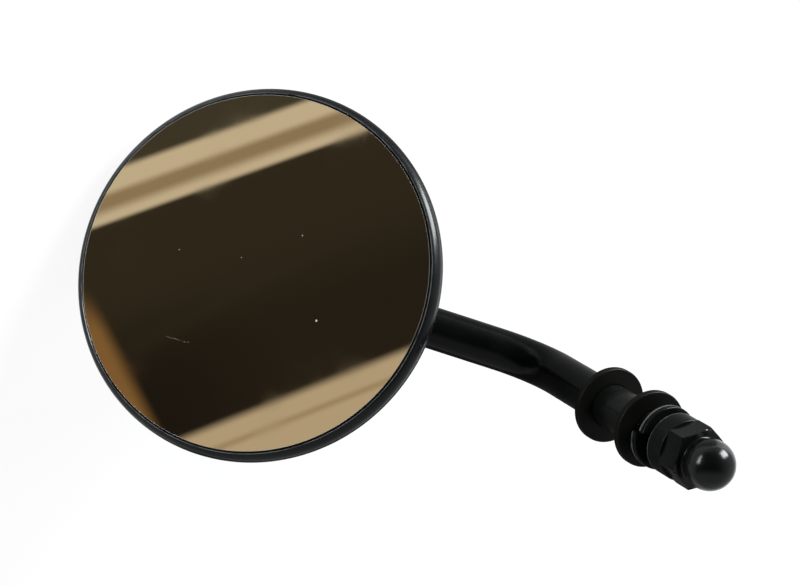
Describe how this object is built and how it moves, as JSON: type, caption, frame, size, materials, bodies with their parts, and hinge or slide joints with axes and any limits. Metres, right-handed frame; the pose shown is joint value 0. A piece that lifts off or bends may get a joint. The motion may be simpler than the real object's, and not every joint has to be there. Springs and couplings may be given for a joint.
{
  "type": "motorcycle mirror",
  "caption": "Round motorcycle mirror: black pressed-steel head on a ball swivel, bent rod stem, and a threaded stud with washers, sleeve and cap nut for a lever perch.",
  "frame": {"origin": "on the stud's axis, level with the perch seat: the upper face of the washer next to the stem's shoulder", "axes": "+Z along the stud towards the cap nut; +X from the stud towards the head, so that the stem's long run lies in the XZ plane; the head hangs below the perch"},
  "size_m": [0.1348, 0.0994, 0.144],
  "materials": {
    "shell_black": "satin-gloss black coating",
    "gasket_rubber": "matt black rubber",
    "mirror_glass": "flat silvered glass, a little dust",
    "pad_foam": "soft grey-black foam",
    "socket_black": "satin-gloss black coating",
    "liner_nylon": "natural nylon",
    "cup_steel": "turned steel",
    "spring_steel": "blued spring steel",
    "plate_steel": "zinc-plated steel",
    "post_steel": "zinc-plated steel",
    "screw_steel": "zinc-plated steel",
    "ball_steel": "ground steel",
    "stem_black": "satin black coating",
    "washer_black": "matt black oxide",
    "sleeve_black": "satin black coating",
    "lock_black": "glossy black plating",
    "collar_black": "satin black plating",
    "nut_black": "glossy black plating"
  },
  "bodies": {
    "perch_stem": {"stem": "stem_black", "ball": "ball_steel", "clamp_washers": "washer_black", "spacer_sleeve": "sleeve_black"},
    "liner": {"seat_liner": "liner_nylon"},
    "seat": {"pressure_cup": "cup_steel", "disc_spring": "spring_steel"},
    "head": {"shell": "shell_black", "gasket": "gasket_rubber", "glass": "mirror_glass", "backing_pad": "pad_foam", "ball_socket": "socket_black", "spring_plate": "plate_steel", "plate_posts": "post_steel", "plate_screws": "screw_steel"},
    "loose_washers": {"lock_washer": "lock_black", "collar": "collar_black"},
    "nut": {"cap_nut": "nut_black"}
  },
  "joints": [
    {"name": "head_pan", "type": "hinge", "parent": "perch_stem", "child": "liner", "pos_m": [0.07852, -0.0011, -0.05872], "axis": [0.6666, 0.0631, -0.7427], "range_deg": [-24, 5]},
    {"name": "head_nod", "type": "hinge", "parent": "liner", "child": "seat", "pos_m": [0.07852, -0.0011, -0.05872], "axis": [0.127, 0.9722, 0.1966], "range_deg": [-15, 15]},
    {"name": "head_spin", "type": "hinge", "parent": "seat", "child": "head", "pos_m": [0.07852, -0.0011, -0.05872], "axis": [0.7345, -0.2254, 0.6401], "continuous": true},
    {"name": "nut_travel", "type": "slide", "parent": "perch_stem", "child": "loose_washers", "axis": [0, 0, 1], "range_m": [-0.0026, 0.0076]},
    {"name": "nut_turn", "type": "hinge", "parent": "loose_washers", "child": "nut", "pos_m": [0, 0, 0.035], "axis": [0, 0, 1], "range_deg": [-720, 2160]}
  ],
  "couplings": [
    {"joint": "nut_travel", "follows": "nut_turn", "m_per_rad": 0.00019894}
  ]
}
